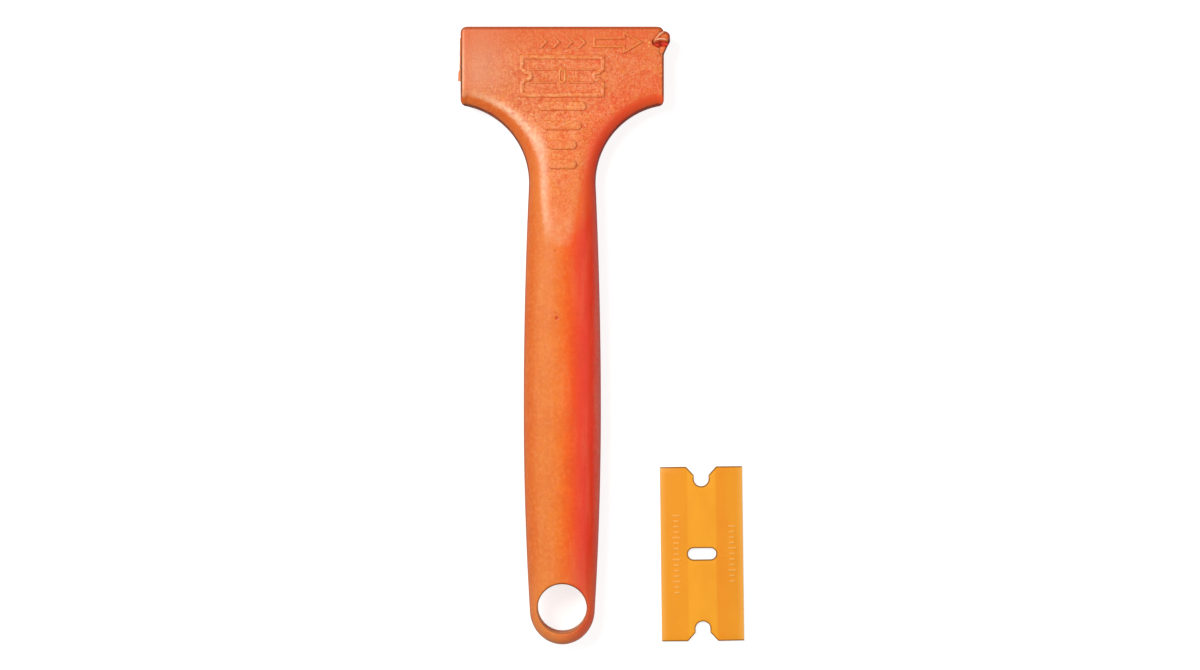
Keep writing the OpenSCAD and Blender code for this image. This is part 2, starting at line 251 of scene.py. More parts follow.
def carve(piece, *cutters, operation="DIFFERENCE"):
    """Cut each cutter from the piece, or join or intersect it, and remove the cutter."""
    for cutter in cutters:
        modifier = piece.modifiers.new("carve", "BOOLEAN")
        modifier.operation = operation
        modifier.solver = "EXACT"
        modifier.object = cutter
        depsgraph = bpy.context.evaluated_depsgraph_get()
        mesh = bpy.data.meshes.new_from_object(piece.evaluated_get(depsgraph))
        piece.modifiers.clear()
        piece.data = mesh
        bpy.data.objects.remove(cutter)
    soften(piece)
    return piece


# The handle's skin
def oval_share(share):
    """Share of one half-axis that a squared oval leaves at a share of the other."""
    return (1 - share**SECTION_POWER) ** (1 / SECTION_POWER)


def face_height(y):
    """Height of the tilted flat face, with the rounding of the head's front edge."""
    plane = THICK_HALF - (THICK_HALF - NOSE_HALF) * (y - FLAT_START) / FLAT_LENGTH
    inset = np.maximum(0, y - FRONT + FRONT_ROUND)
    return plane - FRONT_ROUND + np.sqrt(np.maximum(0, FRONT_ROUND**2 - inset**2))


# The rear corner's middle, the hollow flank's middle and two ends, and the end of the straight side
corner_at = np.array([HEAD_HALF - CORNER_RADIUS, SEAT_REAR - 1.8])
flank_x = NECK_HALF_WIDTH + FLANK_RADIUS
corner_span = FLANK_RADIUS + CORNER_RADIUS
flank_y = corner_at[1] - math.sqrt(corner_span**2 - (flank_x - corner_at[0]) ** 2)
flank_end = math.acos((flank_x - corner_at[0]) / corner_span)
flank_begin = -math.atan(2 * (GRIP_HALF - NECK_HALF_WIDTH) / (flank_y - WIDEST_AT))
neck_y = flank_y + FLANK_RADIUS * math.sin(flank_begin)
neck_half = flank_x - FLANK_RADIUS * math.cos(flank_begin)
straight_end = FRONT - CORNER_RADIUS


def side_x(y):
    """Half-width of the grip, a parabola on each side of its widest place."""
    tail_part = (GRIP_HALF - TAIL_HALF) * ((y - WIDEST_AT) / WIDEST_AT) ** 2
    neck_part = (GRIP_HALF - neck_half) * ((y - WIDEST_AT) / (neck_y - WIDEST_AT)) ** 2
    return GRIP_HALF - np.where(y < WIDEST_AT, tail_part, neck_part)


def tail_height(x, y):
    """Height of the skin round the hang hole: a squared oval that shrinks along the round tail."""
    back = np.clip((TAIL_Y - y) / TAIL_REACH, 0, 1)
    half = side_x(y) * (1 - back**END_POWER) ** (1 / END_POWER)
    height = THICK_HALF * (1 - back**TAIL_POWER) ** (1 / TAIL_POWER)
    return height * oval_share(np.abs(x) / half)


def ring_rows(outline, shoulder, height, flat_share, wall=0.0):
    """One row per ring: outline point, shoulder point, height there, width share, straight wall share."""
    count = len(outline)
    sizes = [np.broadcast_to(size, count) for size in (height, flat_share, wall)]
    return np.column_stack([outline, shoulder, *sizes])


def oval_rings(y, half, height, flat_share):
    """Rings across the grip, where the shoulder lies beside the middle at the same y."""
    outline = np.column_stack([half, y])
    shoulder = np.column_stack([half * flat_share, y])
    return ring_rows(outline, shoulder, height * oval_share(flat_share), flat_share)


def flank_points(angle, radius):
    """Points round the centre of the hollow beside the neck."""
    return np.column_stack([flank_x - radius * np.cos(angle), flank_y + radius * np.sin(angle)])


def handle_rings():
    """All rings from the tail to the head's front edge; the first is small, but not a point."""
    tail = np.radians(np.linspace(0.6, 90, TAIL_RINGS, endpoint=False))
    tail_ys = TAIL_Y - TAIL_REACH * np.cos(tail)
    tail_heights = THICK_HALF * (1 - np.cos(tail) ** TAIL_POWER) ** (1 / TAIL_POWER)
    tail_halves = side_x(tail_ys) * (1 - np.cos(tail) ** END_POWER) ** (1 / END_POWER)
    tail_rings = oval_rings(tail_ys, tail_halves, tail_heights, INNER_SHARE)

    grip_ys = np.linspace(TAIL_Y, TONGUE_START, GRIP_RINGS, endpoint=False)
    tongue_ys = np.linspace(TONGUE_START, neck_y, TONGUE_RINGS, endpoint=False)
    flat_share = oval_share(np.minimum(1, face_height(tongue_ys) / THICK_HALF))
    grip_rings = oval_rings(grip_ys, side_x(grip_ys), THICK_HALF, INNER_SHARE)
    tongue_share = np.maximum(INNER_SHARE, flat_share)
    tongue_rings = oval_rings(tongue_ys, side_x(tongue_ys), THICK_HALF, tongue_share)

    return np.vstack([tail_rings, grip_rings, tongue_rings, head_rings()])


def head_rings():
    """Rings from the neck along the hollow flanks, round the rear corners and up the head's sides."""
    neck_share = float(oval_share(face_height(neck_y) / THICK_HALF))
    shoulder = neck_half * (1 - neck_share)
    flank = np.linspace(flank_begin, flank_end, FLANK_RINGS)
    tops = flank_points(flank, FLANK_RADIUS + shoulder)
    flank_rings = ring_rows(
        flank_points(flank, FLANK_RADIUS), tops, face_height(tops[:, 1]), neck_share
    )

    part = np.linspace(0, 1, CORNER_RINGS)[1:]
    turn = flank_end * (part - 1)
    corner = corner_at + CORNER_RADIUS * np.column_stack([np.cos(turn), np.sin(turn)])
    side_dx = flank_x - HEAD_HALF + SIDE_ROUND
    side_y = flank_y + math.sqrt((FLANK_RADIUS + shoulder) ** 2 - side_dx**2)
    share = part[:, None] * len(part) / (len(part) + 1)
    tops = tops[-1] + (np.array([HEAD_HALF - SIDE_ROUND, side_y]) - tops[-1]) * share
    end_share = neck_share * (1 - share[:, 0])
    corner_rings = ring_rows(corner, tops, face_height(tops[:, 1]), end_share, share[:, 0])

    side_ys = np.linspace(side_y, straight_end, SIDE_RINGS, endpoint=False)
    angle = np.radians(np.linspace(0, 90, END_RINGS))
    ys = np.append(side_ys, straight_end + CORNER_RADIUS * np.sin(angle))
    halves = np.append(np.full(SIDE_RINGS, HEAD_HALF), corner_at[0] + CORNER_RADIUS * np.cos(angle))
    outline = np.column_stack([halves, ys])
    tops = np.column_stack([halves - SIDE_ROUND, ys])
    front_rings = ring_rows(outline, tops, face_height(ys), 0.0, 1.0)
    return np.vstack([flank_rings, corner_rings, front_rings])


def soft_minimum(a, b, softness):
    """The lower of two heights, with their crease rounded off where they differ by less than softness."""
    softness = np.maximum(softness, 1e-6)
    return np.minimum(a, b) - np.maximum(softness - np.abs(a - b), 0) ** 2 / (4 * softness)


def softness_at(y):
    """How soft the shoulder is along the handle: softest between the grip and the head."""
    begun = np.clip((y - SOFT_FROM) / (SOFT_FULL - SOFT_FROM), 0, 1)
    left = np.clip((FIRM_FULL - y) / (FIRM_FULL - FIRM_FROM), 0, 1)
    return END_SOFTNESS + (SHOULDER_SOFTNESS - END_SOFTNESS) * begun * left


def ring_quarters(rings):
    """Upper right quarter of every ring, from the outline over the shoulder to the middle.

    Up to the shoulder a point follows the squared oval, or a straight wall with a rounded edge, or
    a mix of the two. Past it the oval goes on, and the lower of oval and flat face is taken.
    """
    outline, shoulder = rings[:, None, 0:2], rings[:, None, 2:4]
    height, flat_share, wall = (rings[:, i, None] for i in (4, 5, 6))
    power = 2 / SECTION_POWER
    step = np.linspace(0, 1, SIDE_STEPS)[None, :]
    angle = step * np.arccos(flat_share ** (1 / power))
    oval_in = (1 - np.cos(angle) ** power) / (1 - flat_share)
    oval_up = np.sin(angle) ** power / oval_share(flat_share)
    bend = np.radians(90) * np.clip((step - WALL_SHARE) / (1 - WALL_SHARE), 0, 1)
    rise = 1 - SIDE_ROUND / height
    wall_up = np.where(step < WALL_SHARE, rise * step / WALL_SHARE, rise + (1 - rise) * np.sin(bend))
    share_in = oval_in + (1 - np.cos(bend) - oval_in) * wall
    share_up = oval_up + (wall_up - oval_up) * wall
    side_plan = outline + (shoulder - outline) * share_in[..., None]

    inward = np.linspace(0, 1, FLAT_STEPS)[None, 1:]
    flat_plan = np.stack([rings[:, 2, None] * (1 - inward), rings[:, 3, None] + 0 * inward], axis=-1)
    reach = np.linalg.norm(rings[:, 2:4] - rings[:, 0:2], axis=1)[:, None]
    past = 1 + rings[:, 2, None] * inward / reach
    oval_past = oval_share(np.clip(1 - past * (1 - flat_share), 0, 1)) / oval_share(flat_share)

    plan = np.concatenate([side_plan, flat_plan], axis=1)
    oval = height * np.concatenate([share_up, oval_past], axis=1)
    softness = softness_at(plan[..., 1]) * (1 - wall)
    heights = soft_minimum(oval, face_height(plan[..., 1]), softness)
    heights[:, 0] = 0
    return np.concatenate([plan, heights[..., None]], axis=-1)


def skin(name, rings):
    """Closed solid over rings: each quarter mirrored to a full outline, left over the top to right."""
    quarter = ring_quarters(rings)
    left, under = np.array([-1, 1, 1]), np.array([1, 1, -1])
    across = np.concatenate([quarter * left, quarter[:, -2::-1]], axis=1)
    return loft(name, np.concatenate([across, across[:, -2:0:-1] * under], axis=1))


# Cutters shared by the handle and the door
def door_space(gap):
    """Space of the closed door, grown towards the handle by a gap."""
    low = (-HEAD_HALF - CUT_OVER, SEAT_REAR + DOOR_GAP - gap, -THICK_HALF - CUT_OVER)
    high = (HEAD_HALF + CUT_OVER, FRONT + CUT_OVER, PARTING_Z - DOOR_GAP + gap)
    return block("door_space", low, high)


def film_hollow():
    """Hollow for the folded film, through the parting plane on the left."""
    low = (-HEAD_HALF - CUT_OVER, FILM_LOW[1] - FILM_GAP, FILM_LOW[2] - FILM_GAP)
    high = (FILM_HIGH[0] + FILM_GAP, FILM_HIGH[1] + FILM_GAP, FILM_HIGH[2] + FILM_GAP)
    return block("film_hollow", low, high)


def arm_channel():
    """Channel for the hook's arm, down the right side of the head."""
    low = (ARM_IN - HOOK_GAP, HOOK_LOW[1] - HOOK_GAP, -THICK_HALF - CUT_OVER)
    high = (HOOK_HIGH[0] + CUT_OVER, HOOK_HIGH[1] + HOOK_GAP, THICK_HALF + CUT_OVER)
    return block("arm_channel", low, high)


def lip_pocket():
    """Pocket with the ledge for the hook's lip: close along the lip's front, sloping behind it."""
    tip_x, side = HOOK_LOW[0] - 0.2, ARM_IN + 0.02
    # Plan at the ledge: the slope behind the lip, the channel's side, then along the lip's front
    outline = np.array([
        (tip_x, LIP_REAR - 0.1),
        (tip_x + 0.75, LIP_REAR - 0.5),
        (side, GROOVE_REAR),
        (side, HOOK_HIGH[1] + HOOK_GAP),
        (tip_x + 1.3, HOOK_HIGH[1] - 0.45),
        (tip_x + 0.55, RIDGE_Y + 0.72),
        (tip_x, RIDGE_Y + 0.1),
    ])
    spread = np.zeros_like(outline)
    spread[:3] = (-0.2, -0.9), (-0.2, -1.1), (0, -1.2)
    ledge_z = float(face_height(RIDGE_Y)) - LEDGE_DEPTH - HOOK_GAP
    return prism("lip_pocket", outline, ledge_z, THICK_HALF, outline + spread)


def hole_cutter():
    """Bore with a rounded rim: at each angle a quarter circle from the wall up to the skin's height.

    The quarter circle stops short of level, and two more rows carry the cutter up past the skin.
    """
    turn = np.linspace(0, 2 * math.pi, 144, endpoint=False)[None, :]
    bend = np.radians(np.linspace(90, 20, 8))[:, None]
    radius = HOLE_RADIUS + HOLE_ROUND * np.concatenate([1 - np.sin(bend), [[1.08], [1.08]]])
    x, y = radius * np.cos(turn), radius * np.sin(turn)
    drop = HOLE_ROUND * np.concatenate([1 - np.cos(bend), [[-0.1], [-0.1]]])
    z = tail_height(x, y) - drop
    z[-1] = THICK_HALF + CUT_OVER
    upper = np.stack([x, y, z], axis=-1)
    return loft("hole_cutter", np.concatenate([upper[::-1] * np.array([1, 1, -1]), upper]))


def arc(centre, radius, start, end, count):
    """Plan points along part of a circle, angles in degrees."""
    angle = np.radians(np.linspace(start, end, count))
    return np.array(centre) + radius * np.column_stack([np.cos(angle), np.sin(angle)])


def slot_outline(length, width):
    """Plan outline of a slot with round ends, longest along X."""
    centre = (length - width) / 2
    right = arc((centre, 0), width / 2, -90, 90, 14)
    return np.concatenate([right, -right])


def seat_post(name, outline):
    """Post in the seat, as high as the blade is thick, from a plan outline on the fitted blade."""
    low = SEAT_CEILING - BLADE_THICKNESS
    return prism(name, outline + np.array([0, FITTED_Y]), low, SEAT_CEILING + SUNK)


def seat_rib(end):
    """Rib in the seat, round at its inner end, for one end notch of the blade."""
    half = NOTCH_WIDTH / 2 - BLADE_PLAY
    outer = SEAT_HALF + SUNK
    round_end = arc((NOTCH_MIDDLE, 0), half, 90, 270, 20)
    outline = np.concatenate([round_end, [(outer, -half), (outer, half)]])
    return seat_post("rib", outline * end)


def seat_stud():
    """Stud for the slot in the middle of the blade."""
    outline = slot_outline(SLOT[0] - 2 * BLADE_PLAY, SLOT[1] - 2 * BLADE_PLAY)
    return seat_post("stud", outline[:, ::-1][::-1])


def make_handle():
    """Handle with hang hole, blade seat, door space, film hollow, hook channel and pocket."""
    piece = skin("moulded_handle", handle_rings())
    seat_low = (-SEAT_HALF, SEAT_REAR, PARTING_Z - CUT_OVER)
    seat_high = (SEAT_HALF, FRONT + CUT_OVER, SEAT_CEILING)
    carve(piece, hole_cutter(), door_space(DOOR_GAP), block("seat", seat_low, seat_high))
    carve(piece, film_hollow(), arm_channel(), lip_pocket())
    posts = seat_stud(), seat_rib(1), seat_rib(-1)
    return carve(piece, *posts, *raised_forms(), operation="UNION")


def make_door():
    """Door: the back half of the head, with its half of the film hollow and hook channel."""
    piece = skin("rear_door", head_rings())
    carve(piece, door_space(0), operation="INTERSECT")
    return carve(piece, film_hollow(), arm_channel())


# The film hinge and the snap hook
def make_film():
    """Folded film: a U-shaped strip, thinner in its fold, that stands out further towards its rear."""
    along = np.linspace(0, 1, 60)[:, None]
    turn = np.linspace(0, math.pi, 28)[None, :]
    half = (FILM_HIGH[2] - FILM_LOW[2]) / 2
    fold_z = (FILM_HIGH[2] + FILM_LOW[2]) / 2
    thickness = FILM_THICKNESS * (1 - np.sin(turn) ** 4 / 3)
    ripple = 0.025 * np.sin(along * 23) * np.sin(along * math.pi)
    # The fold stands out on a slope, with a step near its rear, a flare at its end and the ripple
    step = np.clip((along - 0.72) / 0.07, 0, 1)
    out = 0.24 + 0.08 * along + 0.26 * step * step * (3 - 2 * step) + 0.07 * along**8 + ripple
    reach = FILM_HIGH[0] + HEAD_HALF + out
    y = FILM_HIGH[1] - (FILM_HIGH[1] - FILM_LOW[1]) * along
    rows = []
    for inset in (0 * thickness, thickness):
        x = FILM_HIGH[0] - (reach - inset) * np.sin(turn)
        z = fold_z + (half - inset) * np.cos(turn)
        rows.append(np.stack(np.broadcast_arrays(x, y, z), axis=-1))
    rings = np.concatenate([rows[0], rows[1][:, ::-1]], axis=1)
    rows, columns = rings.shape[:2]
    half_count = columns // 2
    strip = np.arange(half_count - 1)
    cells = np.column_stack([strip, strip + 1, columns - 2 - strip, columns - 1 - strip])
    faces = grid_faces(rows, columns)
    faces += cells[:, ::-1].tolist() + (cells + (rows - 1) * columns).tolist()
    return mesh_piece("film_hinge", rings, faces, smooth_angle=50)


def hook_top(x, y):
    """Height of the hook's top: near the face, with two ridges, a steep groove behind and a bump.

    The first ridge bows forwards in its middle, and the second slants forwards to the right from
    its left end. The groove reaches from the first ridge back to the arm's rear half.
    """
    along = np.clip((x - HOOK_LOW[0]) / (HOOK_HIGH[0] - HOOK_LOW[0]), 0, 1)
    ridge_y = RIDGE_Y + 0.38 * np.sin(math.pi * along)
    off = y - ridge_y
    ridge = 0.46 * np.exp(-((off / np.where(off > 0, 0.4, 0.22)) ** 2))
    lean = (y - RIDGE_Y - 0.1) - 0.85 * (x - HOOK_LOW[0])
    ridge = np.maximum(ridge, 0.4 * np.exp(-((lean / 0.4) ** 2)) * (off > 0))
    wall = np.clip((ridge_y - 0.4 - y) / 0.14, 0, 1)
    slope = np.clip((y - GROOVE_REAR) / 0.5, 0, 1)
    bump = 0.2 * np.exp(-(((y - HOOK_HIGH[1] + 0.5) / 0.24) ** 2) - ((x - ARM_IN) / 0.7) ** 2)
    return face_height(y) - 0.06 + ridge + bump - 0.78 * wall * slope


def make_hook():
    """Snap hook: sections across the head's side, carried along X from the beak's tip to the knuckle.

    A section goes along its low side, up its rear side, over hook_top() and down its front side,
    with rounded upper corners. It grows from the beak over the ledge to the arm beside the head.
    """
    tip, out = HOOK_LOW[0], HOOK_HIGH[0]
    rear, front = HOOK_LOW[1], HOOK_HIGH[1]
    ledge_z = float(face_height(RIDGE_Y)) - LEDGE_DEPTH
    root_z = HOOK_LOW[2]
    # Columns: x, rear, front, low side, drop of the top
    sections = np.array([
        (tip, LIP_REAR + 0.12, RIDGE_Y + 0.02, ledge_z + 0.3, 0.55),
        (tip + 0.06, LIP_REAR + 0.05, RIDGE_Y + 0.14, ledge_z + 0.12, 0.3),
        (tip + 0.4, LIP_REAR, RIDGE_Y + 0.7, ledge_z, 0.1),
        (tip + 1.1, LIP_REAR - 0.02, front - 0.52, ledge_z, 0),
        (ARM_IN - 0.01, LIP_REAR - 0.04, front - 0.02, ledge_z, 0),
        (ARM_IN, rear, front, root_z, 0),
        (HEAD_HALF, rear, front, root_z, 0),
        (HEAD_HALF + 0.35, rear + 0.85, front - 0.03, root_z + 0.25, 0.06),
        (HEAD_HALF + 0.8, rear + 1.8, front - 0.2, root_z + 0.62, 0.22),
        (HEAD_HALF + 1.15, rear + 2.4, front - 0.5, root_z + 1.0, 0.55),
        (out - 0.03, rear + 2.75, front - 0.85, root_z + 1.35, 1.0),
        (out, rear + 2.9, front - 1.05, root_z + 1.6, 1.4),
    ])
    sections = refine(sections, 7, keep=(4, 5))
    x, rear_y, front_y, low_z, drop = (sections[:, i, None] for i in range(5))
    across = np.linspace(0, 1, 84)[None, :]
    top_y = rear_y + (front_y - rear_y) * across
    corner = np.minimum(0.16, (front_y - rear_y) / 3)
    inset = np.maximum(0, corner - np.minimum(top_y - rear_y, front_y - top_y))
    rounding = corner - np.sqrt(np.maximum(corner**2 - inset**2, 0))
    top_z = np.minimum(hook_top(x, top_y) - drop, HOOK_HIGH[2]) - rounding
    top_z = np.maximum(top_z, low_z + 0.1)
    climb = np.linspace(0, 1, 9)[None, :-1]
    up_z = low_z + (top_z[:, :1] - low_z) * climb
    down_z = top_z[:, -1:] + (low_z - top_z[:, -1:]) * climb[:, 1:]
    low_y = front_y + (rear_y - front_y) * climb
    y = np.concatenate([low_y, rear_y + 0 * up_z, top_y, front_y + 0 * down_z], axis=1)
    z = np.concatenate([low_z + 0 * low_y, up_z, top_z, down_z], axis=1)
    return loft("snap_hook", np.stack([x + 0 * y, y, z], axis=-1)[:, ::-1], smooth_angle=40)


def refine(rows, times, keep):
    """More rows between those given, on straight lines, with none between the two rows in keep."""
    places = np.arange(len(rows))
    fine = np.linspace(0, len(rows) - 1, (len(rows) - 1) * times + 1)
    fine = fine[(fine <= keep[0]) | (fine >= keep[1])]
    return np.column_stack([np.interp(fine, places, column) for column in rows.T])


# The raised bars and signs
def rounded_outline(half_length, half_width, corner, count=12):
    """Plan outline of a rectangle with rounded corners, about its middle."""
    quarters = [
        arc((sx * (half_length - corner), sy * (half_width - corner)), corner, start, start + 90, count)
        for sx, sy, start in ((1, 1, 0), (-1, 1, 90), (-1, -1, 180), (1, -1, 270))
    ]
    return np.concatenate(quarters)


def bar_outline(i):
    """Plan outline of one of the grip bars across the neck."""
    outline = rounded_outline(BAR_LENGTHS[i] / 2, BAR_WIDTH / 2, BAR_CORNER)
    return outline + np.array([0, FRONT - BAR_FROM_FRONT - i * BAR_PITCH])


def outward(outline):
    """Outward step at each point of an anticlockwise plan outline that moves every side by one."""
    ahead = np.roll(outline, -1, axis=0) - outline
    ahead /= np.linalg.norm(ahead, axis=1)[:, None]
    normal = np.column_stack([ahead[:, 1], -ahead[:, 0]])
    before = np.roll(normal, 1, axis=0)
    return (normal + before) / (1 + (normal * before).sum(axis=1))[:, None]


def raised_pad(outline, height, rounding):
    """Pad sunk into the flat face: upright sides and a quarter-round upper edge."""
    step = outward(outline)
    bend = np.radians(np.linspace(0, 90, 7))
    insets = np.append(0, rounding * (1 - np.cos(bend)))
    levels = np.append(-SUNK, height - rounding + rounding * np.sin(bend))
    plans = [outline - step * inset for inset in insets]
    rings = [at_height(plan, face_height(plan[:, 1]) + level) for plan, level in zip(plans, levels)]
    return loft("raised_pad", np.array(rings))


def arrow_outline():
    """Plan outline of the arrow that points at the hook."""
    x, y = ARROW_TAIL
    neck = x + ARROW_LENGTH - ARROW_HEAD[0]
    shaft, wing = ARROW_SHAFT / 2, ARROW_HEAD[1] / 2
    lower = [(x, -shaft), (neck, -shaft), (neck, -wing), (x + ARROW_LENGTH, 0)]
    return np.array(lower + [(px, -py) for px, py in lower[-2::-1]]) + np.array([0, y])


def chevron_outline(x):
    """Plan outline of one of the chevrons in line with the arrow."""
    deep, half, thick = 1.3, 1.35, 0.75
    lower = [(x, -half), (x + thick, -half), (x + thick + deep, 0)]
    upper = [(x + thick, half), (x, half), (x + deep, 0)]
    return np.array(lower + upper) + np.array([0, ARROW_TAIL[1]])


def blade_sign_outlines():
    """Plan outlines of a small blade lying across the head: its edge and its slot."""
    edge = blade_outline() @ np.array([[0, 1], [-1, 0]])
    slot = slot_outline(*SLOT) @ np.array([[0, 1], [-1, 0]])
    return [outline * SIGN_SCALE + np.array(SIGN_MIDDLE) for outline in (edge, slot)]


def blade_outline():
    """Plan outline of the whole blade, anticlockwise: straight edges and a notch in each end."""
    half = BLADE_WIDTH / 2
    sides = [(NOTCH_MOUTH / 2, BLADE_TIP), (NOTCH_WIDTH / 2, BLADE_TIP - NOTCH_CHAMFER)]
    notch = arc((0, NOTCH_MIDDLE), NOTCH_WIDTH / 2, 0, -180, 13)
    mirrored = [(-px, py) for px, py in sides[::-1]]
    end = np.concatenate([[(half, BLADE_TIP)], sides, notch, mirrored, [(-half, BLADE_TIP)]])
    return np.concatenate([end, -end])


def bead(outline, width, height):
    """Raised line along a closed plan outline: half-round, sunk into the face.

    The points round the line start half a step up, so that none lies in the face itself.
    """
    step = outward(outline)
    rings = []
    for angle in math.pi / 16 + np.linspace(0, 2 * math.pi, 16, endpoint=False):
        side = math.copysign(abs(math.cos(angle)) ** 0.7, math.cos(angle))
        plan = outline + step * width / 2 * side
        rings.append(at_height(plan, face_height(plan[:, 1]) + height * math.sin(angle)))
    return loft("raised_line", np.array(rings), loop=True)


def raised_forms():
    """Grip bars, arrow, chevrons before it, and a small blade where the head takes the blade."""
    edge, slot = blade_sign_outlines()
    forms = [raised_pad(bar_outline(i), BAR_HEIGHT, BAR_ROUND) for i in range(len(BAR_LENGTHS))]
    forms += [raised_pad(chevron_outline(x), CHEVRON_HEIGHT, CHEVRON_ROUND) for x in CHEVRONS]
    forms += [bead(arrow_outline(), *ARROW_LINE), bead(slot, *SLOT_LINE), bead(edge, *BLADE_LINE)]
    strip = rounded_outline(*STRIP_HALF, corner=0.18, count=6) + np.array(SIGN_MIDDLE)
    for right, ahead in ((1, 1), (-1, 1), (-1, -1), (1, -1)):
        offset = np.array([right * STRIP_X, ahead * BAND_HALF * SIGN_SCALE])
        forms.append(raised_pad(strip + offset, STRIP_HEIGHT, rounding=0.12))
    return forms


# The blade
def blade_place(plan):
    """Plan points of the blade turned and moved to where the loose blade lies."""
    low, high = node_box("blade")
    centre = (low + high)[:2] / 2
    cosine, sine = math.cos(BLADE_TURN), math.sin(BLADE_TURN)
    return plan @ np.array([[cosine, sine], [-sine, cosine]]) + centre


def through_blade(name, outline):
    """Cutter straight through the loose blade, from a plan outline on the blade."""
    bottom = floor_z - PAST_END
    return prism(name, blade_place(outline), bottom, bottom + BLADE_THICKNESS + 2 * PAST_END)


def notch_cutter(end):
    """Notch in one end of the blade: a round inner part and a mouth that widens past the end."""
    half = NOTCH_WIDTH / 2
    mouth_slope = (NOTCH_MOUTH / 2 - half) / NOTCH_CHAMFER
    round_end = arc((0, NOTCH_MIDDLE), half, 180, 360, 24)
    mouth_half = half + mouth_slope * (NOTCH_CHAMFER + PAST_END)
    sides = [(half, BLADE_TIP - NOTCH_CHAMFER), (mouth_half, BLADE_TIP + PAST_END)]
    outline = np.concatenate([round_end, sides, [(-px, py) for px, py in sides[::-1]]])
    return through_blade("notch", outline * end)


def blade_ticks():
    """Plain raised ticks in a row along each bevel, every fourth one longer."""
    middle = floor_z + BLADE_THICKNESS / 2
    ticks = []
    for x, first_y, count in TICK_ROWS:
        for i in range(count):
            half = TICK_HALVES[0 if i % 4 == 0 else 1]
            at = np.array([x, first_y - i * TICK_PITCH])
            foot = rounded_outline(half, TICK_HALF_WIDTH, corner=0.2, count=4) + at
            crest_size = half - TICK_SLOPE, TICK_HALF_WIDTH - TICK_SLOPE
            crest = rounded_outline(*crest_size, corner=0.12, count=4) + at
            bevel = BLADE_THICKNESS / 2 - (np.abs(crest[:, 0]) - BAND_HALF) * BEVEL_SLOPE
            top = middle + bevel + TICK_HEIGHT
            ticks.append(prism("tick", blade_place(foot), middle, top, blade_place(crest)))
    return ticks


def make_blade():
    """Blade: a flat band with long bevels, carried from end to end, then notched, slotted and ticked."""
    half = BLADE_WIDTH / 2
    thick = BLADE_THICKNESS / 2
    right = [(BAND_HALF, thick), (BEVEL_END, BEVEL_LOW), (half - 0.05, EDGE_HALF), (half, 0)]
    upper = [(-px, pz) for px, pz in right[::-1]] + right[:-1]
    section = np.array(upper + [(right[-1][0], 0)] + [(px, -pz) for px, pz in upper[:0:-1]])
    lengths = np.linspace(-BLADE_TIP, BLADE_TIP, 24)
    middle = floor_z + thick
    rings = []
    for y in lengths:
        plan = blade_place(np.column_stack([section[:, 0], np.full(len(section), y)]))
        rings.append(at_height(plan, middle + section[:, 1]))
    piece = loft("plastic_blade", np.array(rings), smooth_angle=20)
    slot = through_blade("slot", slot_outline(*SLOT))
    carve(piece, slot, notch_cutter(1), notch_cutter(-1))
    rounding = piece.modifiers.new("worn edges", "BEVEL")
    rounding.width = WORN_EDGE * MM
    rounding.segments = 3
    rounding.limit_method = "ANGLE"
    rounding.angle_limit = math.radians(40)
    carve(piece, *blade_ticks(), operation="UNION")
    soften(piece, 20)
    return piece


# Shader maths
def linear(red, green, blue):
    """Linear colour from screen values of 0 to 255."""
    shares = np.array([red, green, blue]) / 255
    lit = np.where(shares <= 0.04045, shares / 12.92, ((shares + 0.055) / 1.055) ** 2.4)
    return (*lit.tolist(), 1.0)


def maths(operation, reflected=False):
    """Method of Value that adds one Math node; reflected, the other value comes first."""

    def operate(value, other=0.0):
        first, second = (other, value) if reflected else (value, other)
        node = value.finish.node("ShaderNodeMath", {"operation": operation}, {0: first, 1: second})
        return Value(value.finish, node.outputs[0])

    return operate


class Value:
    """A number that flows through a finish; its operators add Math nodes, and size() drops the sign."""

    __add__ = maths("ADD")
    __radd__ = maths("ADD", reflected=True)
    __sub__ = maths("SUBTRACT")
    __rsub__ = maths("SUBTRACT", reflected=True)
    __mul__ = maths("MULTIPLY")
    __rmul__ = maths("MULTIPLY", reflected=True)
    __pow__ = maths("POWER")
    larger = maths("MAXIMUM")
    smaller = maths("MINIMUM")
    size = maths("ABSOLUTE")

    def __init__(self, finish, socket):
        self.finish = finish
        self.socket = socket

    def between(self, low, high):
        """0 below low, 1 above high, on an S-curve between them; low may be the larger one."""
        settings = {"interpolation_type": "SMOOTHSTEP"}
        start, end = (low, high) if low < high else (high, low)
        sockets = {"Value": self, "From Min": start, "From Max": end}
        step = Value(self.finish, self.finish.node("ShaderNodeMapRange", settings, sockets).outputs[0])
        return step if low < high else 1 - step


class Nodes:
    """The emptied node tree of a material or a world, with one method that adds a node."""

    def __init__(self, owner):
        owner.use_nodes = True
        self.tree = owner.node_tree
        self.tree.nodes.clear()

    def node(self, kind, settings=None, sockets=None):
        """One node: its settings first, then a value or a link for each named or numbered socket."""
        made = self.tree.nodes.new(kind)
        for name, value in (settings or {}).items():
            setattr(made, name, value)
        for name, value in (sockets or {}).items():
            if isinstance(value, Value):
                value = value.socket
            if isinstance(value, bpy.types.NodeSocket):
                self.tree.links.new(value, made.inputs[name])
            else:
                made.inputs[name].default_value = value
        return made


